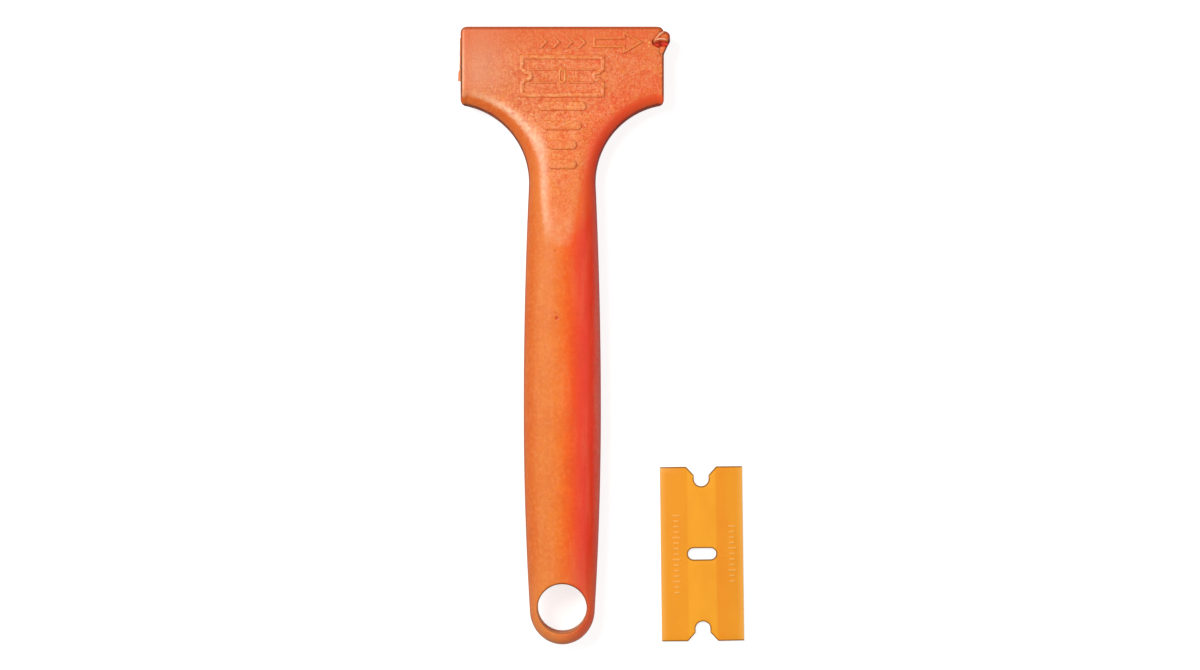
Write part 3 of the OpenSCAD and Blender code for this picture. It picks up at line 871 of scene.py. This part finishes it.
class Finish(Nodes):
    """A material for one finish, with its nodes read in millimetres of Object coordinates."""

    def __init__(self, name, turn=0.0, centre=(0, 0, 0)):
        self.material = bpy.data.materials.new(name)
        super().__init__(self.material)
        coordinates = self.node("ShaderNodeTexCoord").outputs["Object"]
        place = {"Vector": coordinates, "Location": [c * MM for c in centre]}
        place.update({"Rotation": (0, 0, turn), "Scale": (MM, MM, MM)})
        self.place = self.node("ShaderNodeMapping", {"vector_type": "TEXTURE"}, place).outputs[0]
        parts = self.node("ShaderNodeSeparateXYZ", sockets={0: self.place}).outputs
        self.x, self.y, self.z = (Value(self, part) for part in parts)

    def vector(self, operation, place, other):
        """Vector Math on a place."""
        return self.node("ShaderNodeVectorMath", {"operation": operation}, {0: place, 1: other}).outputs[0]

    def noise(self, per_mm, detail=2.0, roughness=0.5, stretch=(1, 1, 1), seed=0.0):
        """Smooth noise about 0.5, with so many waves a millimetre."""
        place = self.vector("MULTIPLY", self.place, stretch)
        place = self.vector("ADD", place, (seed, seed, seed))
        sockets = {"Vector": place, "Scale": per_mm, "Detail": detail, "Roughness": roughness}
        return Value(self, self.node("ShaderNodeTexNoise", sockets=sockets).outputs[0])

    def spot(self, x, y, radius, softness):
        """1 inside a round spot on the front face, 0 outside."""
        across, along = self.x - x, self.y - y
        distance = (across * across + along * along) ** 0.5
        return distance.between(radius + softness, max(radius - softness, 0)) * self.z.between(0, 1)

    def mix(self, share, first, second):
        """Colour between two colours."""
        sockets = {0: share, 6: first, 7: second}
        return self.node("ShaderNodeMix", {"data_type": "RGBA"}, sockets).outputs[2]

    def coat(self, colour, *coats):
        """Colour under coats laid on in turn, each a share and a colour."""
        for share, cover in coats:
            colour = self.mix(share, colour, cover)
        return colour

    def bump(self, height, under=None):
        """Normal tilted by a height in millimetres."""
        sockets = {"Height": height * MM, "Strength": 1.0, "Distance": 1.0}
        if under is not None:
            sockets["Normal"] = under
        return self.node("ShaderNodeBump", sockets=sockets).outputs[0]

    def shade(self, **sockets):
        """The shader itself, with its sockets by name, underscores for spaces."""
        named = {name.replace("_", " "): value for name, value in sockets.items()}
        shader = self.node("ShaderNodeBsdfPrincipled", sockets=named)
        self.node("ShaderNodeOutputMaterial", sockets={"Surface": shader.outputs[0]})
        return self.material


# Colours of the finishes
ORANGE = linear(242, 118, 30)
# The next three are painted light: a gold highlight left of the grip's middle, shade along the left sides,
# and red shade on the right side and by the right flank
LIT_GOLD_ORANGE = linear(230, 128, 44)
LEFT_SHADE_ORANGE = linear(226, 112, 44)
SHADE_RED = linear(241, 56, 20)
GRAINED_ORANGE = linear(238, 118, 54)
# Painted shade at the head's front and in its rear corners
SHADE_ORANGE = linear(224, 98, 40)
# Painted light: gold for the grain on the lit left of the head
LIT_GRAINED_GOLD = linear(222, 132, 76)
PINK_ORANGE = linear(242, 140, 82)
OCHRE_ORANGE = linear(234, 134, 46)
PALE_ORANGE = linear(246, 170, 108)
# Painted sheen of reflected light on the head's left
SHEEN_ORANGE = linear(232, 164, 124)
DEEP_ORANGE = linear(206, 58, 24)
# The parting line, with painted shade along the sides
SEAM_AND_SHADE_BROWN = linear(104, 32, 14)
# Painted shade in the pocket and groove by the hook's lip
POCKET_SHADE_RED = linear(208, 44, 36)
# Painted highlights: on the left side, as specks, along the face's left rim and on the hook's ridges
HIGHLIGHT_PINK = linear(255, 206, 170)
# Painted reflection on the grip's right edge
REFLECTION_PINK = linear(236, 140, 128)
# Painted light on the right shoulder
LIT_SHOULDER_RED = linear(255, 96, 52)
# Painted shade: dark outlines round the hang hole, the head and the hook's arm
OUTLINE_SHADE = linear(84, 32, 16)
AMBER = linear(248, 166, 42)
PALE_AMBER = linear(250, 190, 96)
DEEP_AMBER = linear(230, 134, 18)
# Painted shade along the blade's cut edges
RIM_SHADE_BROWN = linear(120, 66, 14)

# Marks on the moulding, then painted glints by the hook's tip: place, radius and softness
GATE = (-1.17, 62.85, 0.42, 0.22)
SMALL_GATE = (-1.35, 64.0, 0.3, 0.22)
SINK_PIT = (-1.48, 77.4, 0.22, 0.16)
GLINT_DOTS = ((18.85, 122.6, 0.24, 0.1), (18.8, 121.8, 0.2, 0.1), (18.1, 123.1, 0.16, 0.1))

# How light spreads inside the moulding, in metres and as shares for red, green and blue
SPREAD_REACH = 0.0045
SPREAD_SHARES = (1.0, 0.16, 0.05)
EDGE_ROUND = 0.08


class MouldedPlastic(Finish):
    """Orange moulded plastic: satin on the round grip, spark-eroded grain on the flat faces.

    The grain lies where the surface's height equals the height of the tilted flat plane. The
    methods from mottling() to hook_marks() give the coats for one kind of mark each, in the order
    in which they are laid on. Places are in millimetres, and the last factor is a coat's strength.
    """

    def __init__(self, name):
        super().__init__(name)
        slope = (THICK_HALF - NOSE_HALF) / FLAT_LENGTH
        plane = THICK_HALF + slope * FLAT_START - self.y * slope
        self.drop = plane - self.z
        self.ahead = self.y.between(FLAT_START - 3, FLAT_START + 2)
        self.front_side = self.z.between(0, 1)
        self.upper = self.z.between(-1.6, 0.8)
        crisp = 4.0 - self.y.between(84, 97) * 3.0
        self.grained = ((plane - self.z.size()) * crisp).between(0.95, 0.06) * self.ahead
        self.coarse = self.y.between(82, 98) * 0.65 + 0.35
        by_signs = self.y.between(98, 108) * self.y.between(126, 120) * self.x.size().between(20, 8)
        self.lively = by_signs * 0.7 + 0.3
        # Painted shade: the grip turns red away from the light, to the right, most on its upper side
        shaded_right = (self.x - self.y.between(78, 88) * 3.0).between(-1.4, 5.0)
        self.shaded_right = shaded_right * (1 - self.y.between(88, 108) * 0.15) * (0.5 + self.upper * 0.5)

        self.cloud = self.noise(0.16, 3.0, 0.55)
        self.pink = self.noise(0.33, 2.0, 0.6, seed=23.0)
        self.flow = self.noise(0.5, 2.0, 0.5, stretch=(1, 0.12, 1), seed=7.0)
        self.grain = self.noise(2.0, 2.0, 0.6, seed=3.0)
        self.pits = self.noise(3.4, 1.0, 0.5, seed=11.0)
        self.peel = self.noise(1.1, 2.0, 0.5, seed=5.0)
        self.mottle = self.noise(1.3, 1.0, 0.5, seed=41.0)

        drop = self.drop
        # Painted highlight streak along the flat face's left rim and round the tongue's tip, which is also
        # glossier
        flat_rim = drop.between(0.0, 0.16) * drop.between(0.7, 0.2) * self.x.between(-2, -5) * self.ahead
        tip = drop.between(0.02, 0.1) * drop.between(0.34, 0.14) * self.x.between(4.2, 1)
        tip = tip * self.y.between(88, 83) * self.y.between(77.6, 79.4)
        self.wear_and_highlight = flat_rim * self.y.between(113, 108) + tip * 0.22
        self.raised = drop.between(-0.06, -0.24) * self.ahead * self.front_side
        self.gate = self.spot(*GATE)
        self.sink_pit = self.spot(*SINK_PIT)

    def ground(self):
        """Colour below all coats, paler on the grain; gold at the left is a painted highlight, and the far
        left and the red to the right are painted shade.
        """
        smooth = self.mix(self.x.between(-7.6, -4), LEFT_SHADE_ORANGE, LIT_GOLD_ORANGE)
        smooth = self.mix(self.x.between(-4, 1.5), smooth, ORANGE)
        smooth = self.mix(self.shaded_right, smooth, SHADE_RED)
        rough = self.mix(self.x.between(-20, 4), LIT_GRAINED_GOLD, GRAINED_ORANGE)
        return self.mix(self.grained * 0.85, smooth, rough)

    def mottling(self):
        """Clouds, flow lines, orange peel, grain and pits."""
        ochre = self.noise(0.4, 2.0, 0.6, seed=31.0)
        speck = self.noise(2.1, 1.0, 0.4, seed=19.0)
        pale_dots = self.mottle.between(0.5, 0.66)
        dark_dots = self.mottle.between(0.48, 0.34)
        sharp = self.grained * self.coarse * 0.62
        return [
            (self.cloud.between(0.35, 0.7) * 0.14, DEEP_ORANGE),
            (self.flow.between(0.45, 0.75) * 0.12, PALE_ORANGE),
            (self.peel.between(0.42, 0.66) * 0.13, DEEP_ORANGE),
            (pale_dots * (1 - self.shaded_right) * 0.12, PALE_ORANGE),
            (self.grained * self.pink.between(0.42, 0.68) * 0.7, PINK_ORANGE),
            (self.grained * ochre.between(0.45, 0.7) * 0.5, OCHRE_ORANGE),
            (sharp * self.grain.between(0.48, 0.66), PALE_ORANGE),
            (self.grained * pale_dots * self.lively * 0.42, PALE_ORANGE),
            (self.grained * dark_dots * self.lively * 0.32, DEEP_ORANGE),
            (sharp * self.pits.between(0.46, 0.3), DEEP_ORANGE),
            (speck.between(0.7, 0.76) * 0.3, DEEP_ORANGE),
        ]

    def gates_and_painted_light(self):
        """Gate marks, then painted light: a painted sheen on the head's left, painted shade by the right
        flank, in the rear corners and along the left side, a painted highlight on the left side, and
        painted highlight specks.
        """
        gates = self.gate * 0.75 + self.spot(*SMALL_GATE) * 0.35 + self.sink_pit * 0.6
        # Painted sheen of reflected light on the head's left
        sheen = self.x.between(-8, -19) * self.y.between(108, 116) * self.grained
        # Painted shade by the right flank and in the head's rear corners
        across, along = self.x - flank_x, self.y - flank_y
        beside = (across * across + along * along) ** 0.5 - FLANK_RADIUS
        corner_shade = beside.between(4.4, 0.6) * self.x.size().between(12, 18)
        # Painted shade along the head's left side, with a painted highlight on its rounded edge
        from_side = self.x + HEAD_HALF
        side_lit = from_side.between(0.32, 0.5) * from_side.between(1.0, 0.7) * self.y.between(111, 114)
        # Painted highlight specks near the signs
        glint_specks = self.noise(2.4, 1.0, 0.5, seed=53.0).between(0.63, 0.7) * self.lively
        return [
            (gates, DEEP_ORANGE),
            (sheen * 0.65, SHEEN_ORANGE),
            (beside.between(8.5, 3) * self.x.between(3, 9) * 0.24, SHADE_RED),
            (corner_shade * 0.5, SHADE_ORANGE),
            (from_side.between(3.4, 1.6) * 0.3, LEFT_SHADE_ORANGE),
            (side_lit * self.drop.between(0.6, 0.3) * (0.1 + self.mottle * 0.6), HIGHLIGHT_PINK),
            (self.grained * glint_specks * 0.45, HIGHLIGHT_PINK),
        ]

    def dark_lines(self, side, front, rim_width):
        """Painted light on the hang hole's wall, painted shade as dark lines at its rim and lower edge,
        the parting line with painted shade along the sides, and painted shade as a dark rim round the
        head's flat face.

        The rim covers what is within rim_width of an outline with rounded corners.
        """
        from_hole = (self.x * self.x + self.y * self.y) ** 0.5 - HOLE_RADIUS
        # Painted light on the hang hole's wall, and painted shade as dark lines at its rim and lower edge
        bore = from_hole.between(0.12, 0.04)
        hole_rim = from_hole.between(0.34, 0.22) * from_hole.between(0, 0.06)
        far_rim = bore * self.z.between(-3.6, -4.4)
        ends = self.y.between(78, 100) * 0.72 + self.y.between(1, -4) * 0.45 + 0.1
        # The parting line, widened by painted shade along the sides
        seam_and_shade = self.z.between(2.0, 1.5) * self.z.between(0.2, 0.8) * ends * (0.5 + self.peel * 0.8)
        seam_and_shade = seam_and_shade + self.z.size().between(0.14, 0.05) * 0.3
        # Painted shade as a dark rim round the outline and along the front
        past_x = (self.x.size() - side + CORNER_RADIUS).larger(0)
        past_y = (self.y - front + CORNER_RADIUS).larger(0)
        inside = CORNER_RADIUS - (past_x * past_x + past_y * past_y) ** 0.5
        rim = inside.between(rim_width + 0.14, rim_width)
        rim = rim.larger((self.y - front).between(-0.74, -0.58))
        on_face = self.drop.between(0.75, 0.5) * self.z.between(0, 0.5)
        return [
            (bore * 0.7, PALE_ORANGE),
            ((hole_rim * 0.75).larger(far_rim), OUTLINE_SHADE),
            (seam_and_shade, SEAM_AND_SHADE_BROWN),
            (rim * on_face * 0.85, OUTLINE_SHADE),
        ]

    def lit_edges(self):
        """A painted pink reflection along the grip's right edge, painted light on the right shoulder, and
        a painted highlight streak along the flat face's left rim and the tongue's tip.
        """
        edge = self.x.between(6.2, 7.8) * self.y.between(92, 80) * self.z.between(0.4, 1.4)
        shoulder = self.drop.between(0.1, 0.5) * self.drop.between(2.2, 1.0)
        shoulder = shoulder * self.x.between(4, 6.5) * self.y.between(83, 90)
        return [
            (edge * (0.1 + self.mottle * 0.5), REFLECTION_PINK),
            (shoulder * 0.5, LIT_SHOULDER_RED),
            (self.wear_and_highlight * (0.15 + self.mottle * 0.9), HIGHLIGHT_PINK),
        ]

    def relief(self):
        """Raised bars and signs: a paler top, a painted highlight on the slope facing the light and
        painted shade at the foot.
        """
        on_face = self.ahead * self.front_side
        slope_lit = self.drop.between(-0.04, -0.14) * self.drop.between(-0.36, -0.24) * on_face
        foot = self.drop.between(0.02, -0.04) * self.drop.between(-0.26, -0.14) * on_face
        return [
            (self.raised * 0.1, PALE_ORANGE),
            (slope_lit * 0.25, PALE_AMBER),
            (foot * 0.75, DEEP_ORANGE),
        ]

    def ends(self):
        """Painted shade towards the head's front, painted glints by the hook, a paler tail with a painted
        pink reflection on its end, and painted shade in the sunk pocket for the hook's lip.
        """
        glint_dots = sum(self.spot(*glint_dot) for glint_dot in GLINT_DOTS)
        # Painted shade in the pocket below the hook's lip
        sunk = self.drop.between(0.3, 0.55) * self.x.between(18, 18.6) * self.y.between(118, 119)
        return [
            (self.y.between(117, 126) * 0.5, SHADE_ORANGE),
            (glint_dots * 0.6, PALE_AMBER),
            (self.y.between(16, -4) * 0.18, PALE_ORANGE),
            (self.y.between(-3, -7) * self.upper * 0.35, PINK_ORANGE),
            (sunk * self.front_side * 0.7, POCKET_SHADE_RED),
        ]

    def hook_marks(self, glint):
        """Painted highlights on the tops of the hook's ridges, and painted shade as a dark line along its
        arm's slanting rear edge.
        """
        from_arm = (self.y - HOOK_LOW[1]) * 0.41 - (self.x - HEAD_HALF) * 0.91
        return [
            (self.drop.between(-0.14, -0.4) * glint, HIGHLIGHT_PINK),
            (from_arm.between(0.4, 0.22) * self.drop.between(1.0, 0.6) * 0.85, OUTLINE_SHADE),
        ]

    def texture(self):
        """Height of grain, pits, orange peel and clouds, with the gate and the pit sunk in."""
        rough = self.grain * 0.045 + self.pits * 0.02 + self.mottle * 0.08
        height = self.grained * rough * (0.5 + self.coarse * 0.5)
        height = height + self.peel * 0.014 + self.cloud * 0.1 + self.pink * 0.04
        return height - self.gate * 0.05 - self.sink_pit * 0.04

    def roughness(self):
        """Satin, duller on the grain, with more gloss on raised places and along the painted highlight
        streak.
        """
        varied = 0.26 + self.grained * 0.13 + self.peel * 0.12 + self.flow * 0.1
        return varied - self.wear_and_highlight * 0.12 - self.raised * 0.2


def handle_plastic(name, side=HEAD_HALF, front=FRONT, rim_width=0.3, pale=0.0, glint=0.0, spread=1.0):
    """Moulded plastic for one piece, with painted shade as a dark rim round an outline of that half-width
    and front.

    Light spreads a little inside it, red the furthest. pale bleaches it, and glint adds the hook's
    painted highlights and painted dark edge.
    """
    finish = MouldedPlastic(name)
    colour = finish.coat(finish.ground(), *finish.mottling(), *finish.gates_and_painted_light())
    colour = finish.coat(colour, *finish.dark_lines(side, front, rim_width), *finish.lit_edges())
    colour = finish.coat(colour, *finish.relief(), *finish.ends())
    if pale:
        colour = finish.mix(pale, colour, PALE_ORANGE)
    if glint:
        colour = finish.coat(colour, *finish.hook_marks(glint))
    rounding = finish.node("ShaderNodeBevel", {"samples": 6}, {"Radius": EDGE_ROUND * MM})
    return finish.shade(
        Base_Color=colour,
        Roughness=finish.roughness(),
        Normal=finish.bump(finish.texture(), rounding.outputs[0]),
        IOR=1.49,
        Specular_IOR_Level=0.25,
        Subsurface_Weight=0.28,
        Subsurface_Radius=SPREAD_SHARES,
        Subsurface_Scale=SPREAD_REACH * spread,
    )


def from_cut(finish):
    """Distance in plan from the blade's nearest cut edge: its ends, notches, their mouths, the slot."""
    across, along = finish.x.size(), finish.y.size()
    beside = along - NOTCH_MIDDLE
    notch = (across * across + beside * beside) ** 0.5 - NOTCH_WIDTH / 2
    taper = (NOTCH_MOUTH - NOTCH_WIDTH) / 2
    lean = math.hypot(taper, NOTCH_CHAMFER)
    mouth = (across - NOTCH_WIDTH / 2) * (NOTCH_CHAMFER / lean)
    mouth = mouth - (along - BLADE_TIP + NOTCH_CHAMFER) * (taper / lean)
    mouth = mouth.size() + (BLADE_TIP - NOTCH_CHAMFER - along).larger(0)
    past = (across - (SLOT[0] - SLOT[1]) / 2).larger(0)
    slot = (past * past + along * along) ** 0.5 - SLOT[1] / 2
    return (BLADE_TIP - along).smaller(notch).smaller(mouth).smaller(slot)


def blade_plastic():
    """Amber hard plastic: deeper on the bevels, pale where they run thin, painted shade as a brown rim
    along cut edges, and painted highlights and shade on the ticks.
    """
    low, high = node_box("blade")
    finish = Finish("amber blade plastic", BLADE_TURN, (low + high) / 2)
    across = finish.x.size()
    bevel = across.between(2.9, 3.3)
    cloud = finish.noise(0.2, 3.0, 0.5, stretch=(1, 0.6, 1))
    lines = finish.noise(2.0, 2.0, 0.5, stretch=(1, 0.04, 1), seed=4.0)
    fine = finish.noise(4.0, 1.0, 0.5, seed=8.0)
    strip = across.between(3, 3.4) * across.between(6.2, 4.8) * finish.x.between(-1, 1)
    above_bevel = finish.z + (across - BAND_HALF) * BEVEL_SLOPE - BLADE_THICKNESS / 2
    ticked = across.between(3.6, 4.2) * finish.z.between(0, 0.1)
    tick_foot = above_bevel.between(0.006, 0.03) * above_bevel.between(0.09, 0.05)
    colour = finish.coat(
        AMBER,
        (cloud.between(0.35, 0.7) * 0.25, DEEP_AMBER),
        (bevel * 0.35, DEEP_AMBER),
        (strip * 0.16, ORANGE),
        (across.between(7.4, 9.1) * 0.5, PALE_AMBER),
        # Painted shade: a brown rim along the cut edges
        (from_cut(finish).between(0.32, 0.2) * 0.8, RIM_SHADE_BROWN),
        (fine.between(0.55, 0.75) * 0.1, PALE_AMBER),
        # Painted highlights on the ticks' tops and painted shade at their feet
        (ticked * above_bevel.between(0.02, 0.11) * 0.6, PALE_AMBER),
        (ticked * tick_foot * 0.6, DEEP_AMBER),
    )
    return finish.shade(
        Base_Color=colour,
        Roughness=0.22 + cloud * 0.14 + lines * 0.1,
        Normal=finish.bump(lines * 0.008 * bevel + fine * 0.006 + cloud * 0.04),
        IOR=1.5,
        Specular_IOR_Level=0.22,
    )


def dress(piece, material):
    """Give the piece one material."""
    piece.data.materials.clear()
    piece.data.materials.append(material)
    return piece


# The pieces and what they ride on
satin = handle_plastic("orange moulded plastic")
bent = handle_plastic("orange plastic, paled by bending", side=-FILM_LOW[0], pale=0.45, spread=0.1)
hook_outline = {"side": HOOK_HIGH[0], "front": HOOK_HIGH[1], "rim_width": 0.42}
ridged = handle_plastic("orange hook plastic", **hook_outline, glint=0.6, spread=0.15)

handle = dress(make_handle(), satin)
door = dress(make_door(), satin)
hook = dress(make_hook(), ridged)
film = dress(make_film(), bent)
blade = dress(make_blade(), blade_plastic())

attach(handle, "handle")
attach(door, "door")
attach(hook, "latch")
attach(blade, "blade")
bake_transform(film)
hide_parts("handle")
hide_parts("blade_door")
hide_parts("latch_hook")
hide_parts("hinge_film")
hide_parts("blade")

# The stage, in metres
FLOOR_HALF = 2.5
FLOOR_GREY = (0.45, 0.45, 0.45, 1)
FLOOR_GLOW = 0.78
ROOM_FILL = 0.28
CAMERA_PLACE = (0.0082, 0.0592, 0.95)
SEEN_WIDTH = 0.26087
SENSOR_WIDTH = 36
LIT_PLACE = (0.008, 0.06, 0.0)
# Name, place, size and watts
LAMPS = (
    ("key_softbox", (-0.37, 0.34, 0.77), (0.2, 0.4), 5.2),
    ("side_softbox", (-0.72, 0.2, 0.56), (0.5, 0.6), 1.9),
    ("fill_softbox", (0.6, 0.0, 0.65), (0.6, 0.6), 2.25),
)


def camera_sees(nodes, elsewhere, shown, output):
    """Put out one shader for the camera's own rays and another for all others."""
    path = nodes.node("ShaderNodeLightPath")
    sockets = {0: path.outputs["Is Camera Ray"], 1: elsewhere.outputs[0], 2: shown.outputs[0]}
    seen = nodes.node("ShaderNodeMixShader", sockets=sockets)
    nodes.node(output, sockets={"Surface": seen.outputs[0]})


def make_floor():
    """Wide pale floor under the object, white to the camera and still with the object's shadow."""
    corners = np.array([(-1, -1), (1, -1), (1, 1), (-1, 1)]) * FLOOR_HALF / MM
    floor = mesh_piece("floor", at_height(corners, floor_z - 0.02), [[0, 1, 2, 3]])
    material = bpy.data.materials.new("white floor")
    nodes = Nodes(material)
    matt = nodes.node("ShaderNodeBsdfDiffuse", sockets={"Color": FLOOR_GREY})
    glow = nodes.node("ShaderNodeEmission", sockets={"Strength": FLOOR_GLOW})
    both = nodes.node("ShaderNodeAddShader", sockets={0: matt.outputs[0], 1: glow.outputs[0]})
    camera_sees(nodes, matt, both, "ShaderNodeOutputMaterial")
    floor.data.materials.append(material)


def make_world():
    """Pale room: bright to the camera, and a softer fill of light everywhere else."""
    world = bpy.data.worlds.new("white room")
    bpy.context.scene.world = world
    nodes = Nodes(world)
    fill = nodes.node("ShaderNodeBackground", sockets={"Strength": ROOM_FILL})
    camera_sees(nodes, fill, nodes.node("ShaderNodeBackground"), "ShaderNodeOutputWorld")


def softbox(name, place, size, watts):
    """Rectangular area lamp at a place, facing the object; the second size is along Y."""
    lamp = bpy.data.lights.new(name, "AREA")
    lamp.shape = "RECTANGLE"
    lamp.size, lamp.size_y = size
    lamp.energy = watts
    box = bpy.data.objects.new(name, lamp)
    bpy.context.scene.collection.objects.link(box)
    box.location = place
    aim = Vector(LIT_PLACE) - Vector(place)
    box.rotation_mode = "QUATERNION"
    box.rotation_quaternion = aim.to_track_quat("-Z", "Y")


def make_camera():
    """Camera straight above, where the picture's width is SEEN_WIDTH on the middle plane."""
    data = bpy.data.cameras.new("camera")
    camera = bpy.data.objects.new("camera", data)
    bpy.context.scene.collection.objects.link(camera)
    data.sensor_width = SENSOR_WIDTH
    data.lens = SENSOR_WIDTH * CAMERA_PLACE[2] / SEEN_WIDTH
    data.clip_start = 0.05
    camera.location = CAMERA_PLACE
    bpy.context.scene.camera = camera


make_floor()
make_world()
for lamp in LAMPS:
    softbox(*lamp)
make_camera()

bpy.context.scene.view_settings.view_transform = "Standard"
